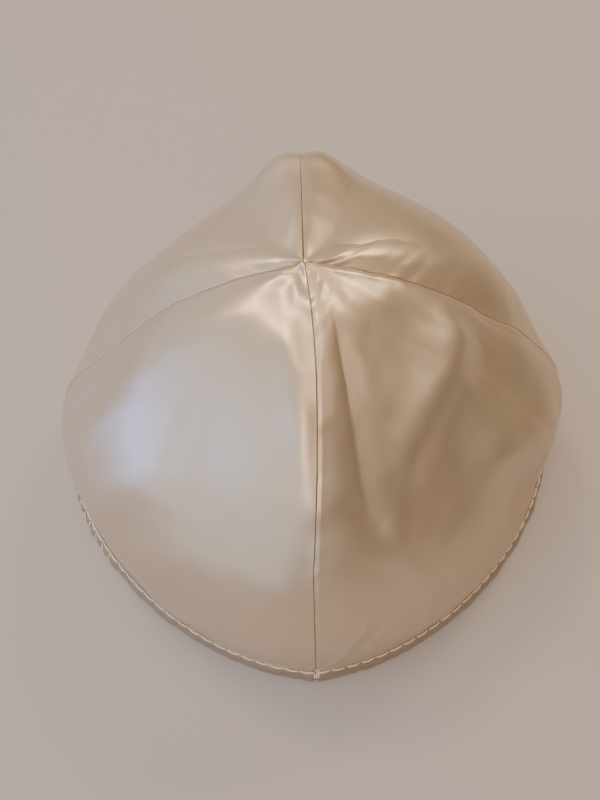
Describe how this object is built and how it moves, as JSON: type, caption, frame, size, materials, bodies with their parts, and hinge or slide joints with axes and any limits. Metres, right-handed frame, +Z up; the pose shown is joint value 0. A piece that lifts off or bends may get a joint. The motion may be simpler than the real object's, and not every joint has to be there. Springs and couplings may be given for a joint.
{
  "type": "four-gore satin kippah",
  "caption": "Round skullcap of satin gores whose seams cross at the crown, with a turned and topstitched edge; it covers the top of the head and keeps its form when set down.",
  "frame": {"origin": "centre of the edge, on the surface that the cap rests on", "axes": "+Z up through the crown, -Y towards the back of the cap, +X towards its right"},
  "size_m": [0.17, 0.17, 0.08],
  "materials": {
    "satin": "glossy champagne satin",
    "hem_satin": "the same satin, folded under",
    "thread": "cream cotton thread"
  },
  "bodies": {
    "root": {"back_left_panel": "satin", "back_right_panel": "satin", "front_left_panel": "satin", "front_right_panel": "satin", "rim_hem": "hem_satin"}
  },
  "joints": []
}
